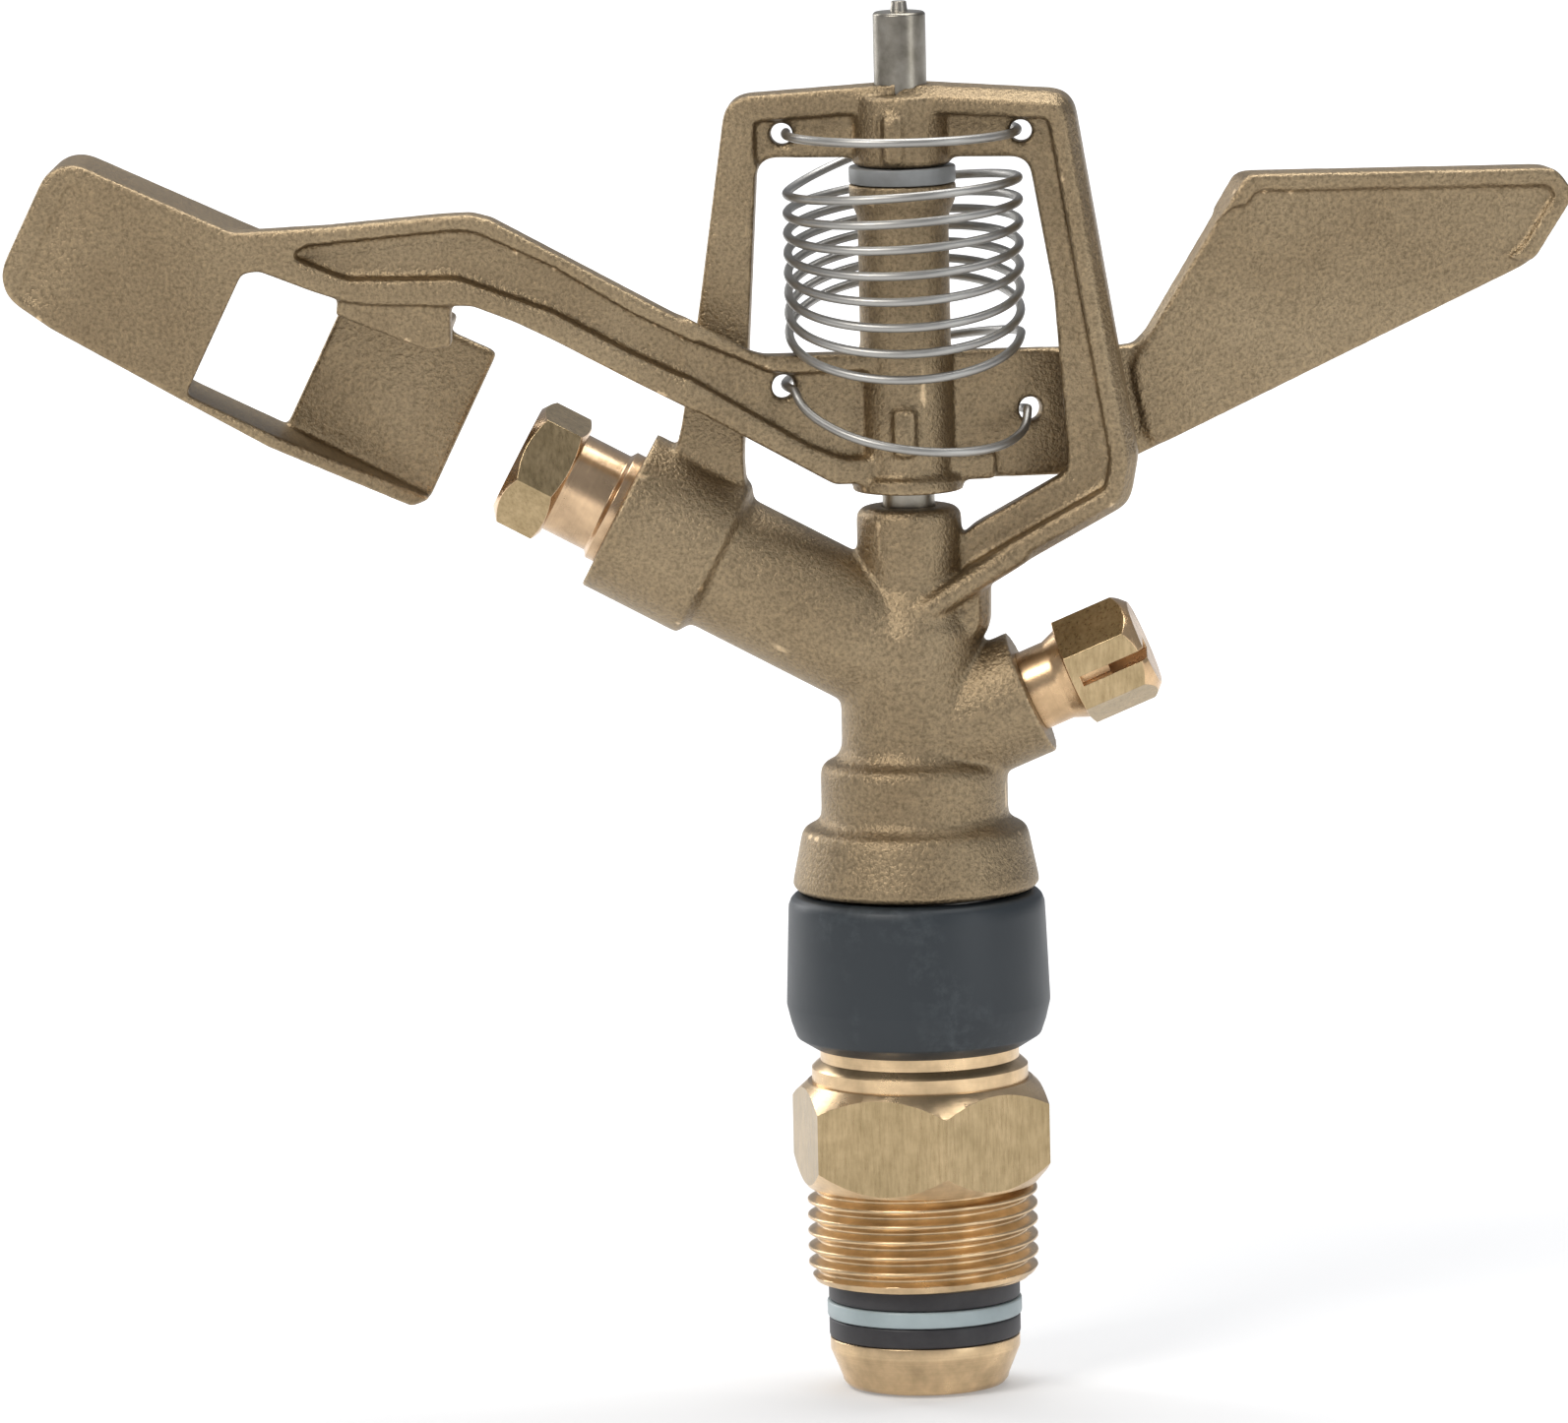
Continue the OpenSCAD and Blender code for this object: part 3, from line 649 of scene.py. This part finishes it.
def shaft():
    """The arm's pin, with a chamfer and a small turned nub on top."""
    low, high = span("arm_shaft")
    r = high.x
    end = high.z - 1.2
    profile = [(0, low.z), (r, low.z), (r, end - 0.25), (r - 0.25, end), (1.0, end), (0.85, high.z),
               (0, high.z)]
    return lathe("shaft", profile, 0.1, 96)


def mix(a, b, t):
    return a + (b - a) * t


def ease(t):
    return t * t * (3 - 2 * t)


def coil_z(a):
    """Height of the leaning coils at a turning angle."""
    grown = (a - COIL_START) / (COIL_END - COIL_START)
    drop = COIL_PITCH * (a - COIL_START) / 360
    lean = LEAN_SIDE * math.cos(math.radians(a)) + LEAN_FRONT * math.sin(math.radians(a - LEAN_LAG)) * grown
    return COIL_TOP - drop + lean


def arm_spring_z(a):
    """Height of the wire: a level ring, a drop, the coils, and an arc that dips between the arm's holes."""
    if a < RING_END:
        return TOP_RING_Z
    if a < COIL_START:
        return mix(TOP_RING_Z, coil_z(COIL_START), ease((a - RING_END) / (COIL_START - RING_END)))
    if a < COIL_END:
        return coil_z(a)
    if a < LEFT_HOLE_ANGLE:
        return mix(coil_z(COIL_END), LEFT_HOLE_Z, ease((a - COIL_END) / (LEFT_HOLE_ANGLE - COIL_END)))
    swing = abs(math.sin(math.radians(a - LEFT_HOLE_ANGLE)))
    dip = LAST_DIP * (max(0, swing - HOLE_RUN) / (1 - HOLE_RUN)) ** 0.55
    return mix(LEFT_HOLE_Z, RIGHT_HOLE_Z, (a - LEFT_HOLE_ANGLE) / 180) - dip


def arm_spring_r(a):
    """Radius of the wire's path, which swells to reach the arm's holes."""
    near = [max(0, 1 - abs(a - hole) / 35) for hole in (LEFT_HOLE_ANGLE, RIGHT_HOLE_ANGLE)]
    return ARM_COIL_R + HOLE_SWELL * sum(near)


def bearing_spring_z(a, low, high):
    """Height of the bearing spring's wire: level at both ends, rising in between."""
    rise = (a / 360 - 0.9) / (BEARING_TURNS - 1.8)
    return mix(low, high, min(1, max(0, rise)))


def wind(a, r, z):
    """A point at a turning angle."""
    return (r * math.cos(math.radians(a)), r * math.sin(math.radians(a)), z)


def arm_spring():
    angles = np.linspace(176, RIGHT_HOLE_ANGLE + 6, 1100)
    path = [wind(a, arm_spring_r(a), arm_spring_z(a)) for a in angles]
    return tube("arm_spring_wire", path, ARM_WIRE_R, 14)


def bearing_spring():
    low, high = span("bearing_spring")
    bottom = low.z + BEARING_WIRE_R + SKIN
    top = high.z - BEARING_WIRE_R - SKIN
    angles = np.linspace(0, 360 * BEARING_TURNS, 420)
    path = [wind(a, BEARING_COIL_R, bearing_spring_z(a, bottom, top)) for a in angles]
    return tube("bearing_spring_wire", path, BEARING_WIRE_R, 10)


stand_in(shaft(), "arm_shaft", "rotor", "shaft_steel", SHAFT)
stand_in(ring("hub_washer", "arm_washer", 3.1, 0.2, SKIN / 2),
         "arm_washer", "rotor", "washer_plastic", WASHER)
stand_in(arm_spring(), "arm_spring", "arm", "spring_steel", WIRE)
stand_in(bearing_spring(), "bearing_spring", "rotor", "spring_steel", WIRE)

# ---------------------------------------------------------------- pieces shown as they are

FINISHES = {
    "tube_gasket": (RUBBER, "seal_rubber"),
    "lower_spring_washer": (WASHER, "washer_plastic"),
    "upper_spring_washer": (WASHER, "washer_plastic"),
    "jet_straightener": (PALE, "thrust_plastic"),
    "upper_arm_bush": (WASHER, "washer_plastic"),
    "lower_arm_bush": (WASHER, "washer_plastic"),
}
for node, (material, slot) in FINISHES.items():
    NODES[node].data.materials.clear()
    NODES[node].data.materials.append(material)

# ---------------------------------------------------------------- floor, light, camera


FLOOR_GAP = 0.0002
FLOOR_SIDES = 64


def floor_material():
    """Pale grey that glows more with the distance, so that it stays even beyond the lamps."""
    n = Nodes("floor")
    cloud = n.noise(3, 2, 0.5)
    colour = n.ramp(cloud, [(0.3, (0.57, 0.57, 0.57)), (0.7, (0.6, 0.6, 0.6))])
    n.shader.inputs["Emission Color"].default_value = (1, 1, 1, 1)
    coord = n.add("ShaderNodeTexCoord")
    reach = n.add("ShaderNodeVectorMath", operation="LENGTH")
    n.join(coord.outputs["Object"], reach.inputs[0])
    spread = n.add("ShaderNodeMapRange", interpolation_type="SMOOTHSTEP")
    for name, value in (("From Min", 0.05), ("From Max", 0.9), ("To Min", 0.25), ("To Max", 0.9)):
        spread.inputs[name].default_value = value
    n.join(reach.outputs["Value"], spread.inputs["Value"])
    n.join(spread.outputs["Result"], n.shader.inputs["Emission Strength"])
    return n.surface(colour, 0.9, n.bump(cloud, 0.05, 0.001), **{"Specular IOR Level": 0.0})


def ground():
    """A wide round floor just under the object."""
    z = size_before[0].z - FLOOR_GAP
    rings = (0.3, 1.0, 3.0, 8.0)
    angles = [2 * math.pi * i / FLOOR_SIDES for i in range(FLOOR_SIDES)]
    verts = [(0, 0, z)] + [(r * math.cos(a), r * math.sin(a), z) for r in rings for a in angles]
    faces = [(0, 1 + i, 1 + (i + 1) % FLOOR_SIDES) for i in range(FLOOR_SIDES)]
    for k in range(len(rings) - 1):
        inner = 1 + FLOOR_SIDES * k
        outer = inner + FLOOR_SIDES
        for i in range(FLOOR_SIDES):
            j = (i + 1) % FLOOR_SIDES
            faces.append((inner + i, outer + i, outer + j, inner + j))
    mesh = bpy.data.meshes.new("floor")
    mesh.from_pydata(verts, [], faces)
    mesh.materials.append(floor_material())
    link("floor", mesh)


ground()

CENTRE = Vector((-0.0147, 0, 0.0546))


def softbox(name, at, size, power, colour=(1, 1, 1)):
    """A rectangular lamp that faces the object's middle."""
    data = bpy.data.lights.new(name, "AREA")
    data.shape = "RECTANGLE"
    data.size = size[0]
    data.size_y = size[1]
    data.energy = power
    data.color = colour
    obj = bpy.data.objects.new(name, data)
    bpy.context.scene.collection.objects.link(obj)
    obj.location = at
    obj.rotation_euler = (CENTRE - Vector(at)).to_track_quat("-Z", "Y").to_euler()


softbox("key", (-0.55, -0.75, 0.95), (0.5, 0.4), 8.5, (1.0, 0.97, 0.93))
softbox("fill", (0.95, -0.7, 0.35), (0.3, 0.9), 2.6, (0.95, 0.98, 1.0))
softbox("top", (0.1, 0.25, 1.1), (0.8, 0.5), 10)
softbox("rim", (-0.9, 0.7, 0.5), (0.4, 0.8), 5)

world = bpy.data.worlds.new("studio")
world.use_nodes = True
world.node_tree.nodes["Background"].inputs["Color"].default_value = (0.9, 0.93, 1.0, 1)
world.node_tree.nodes["Background"].inputs["Strength"].default_value = 0.36
scene = bpy.context.scene
scene.world = world
scene.view_settings.view_transform = "Standard"
scene.view_settings.look = "None"
scene.view_settings.exposure = 0.0

# the camera: how far it stands, its turn, its rise and its roll, the point that it looks at, and the
# width that it sees there, in metres
DISTANCE = 1.7
TURN = math.radians(3.5)
RISE = math.radians(8)
LEAN = math.radians(1.22)
AIM = Vector((-0.014745, 0, 0.054606))
VIEW_WIDTH = 0.1792125
SENSOR = 36
back = Vector((math.sin(TURN) * math.cos(RISE), -math.cos(TURN) * math.cos(RISE), math.sin(RISE)))
right = (-back).cross(Vector((0, 0, 1))).normalized()
up = right.cross(-back)
cam_x = right * math.cos(LEAN) - up * math.sin(LEAN)
cam_y = right * math.sin(LEAN) + up * math.cos(LEAN)
camera = bpy.data.objects.new("camera", bpy.data.cameras.new("camera"))
scene.collection.objects.link(camera)
place = Matrix((cam_x, cam_y, back)).transposed().to_4x4()
place.translation = AIM + back * DISTANCE
camera.matrix_world = place
camera.data.sensor_width = SENSOR
camera.data.lens = SENSOR * DISTANCE / VIEW_WIDTH
camera.data.clip_start = 0.05
camera.data.clip_end = 20
camera.data.dof.use_dof = False
scene.camera = camera
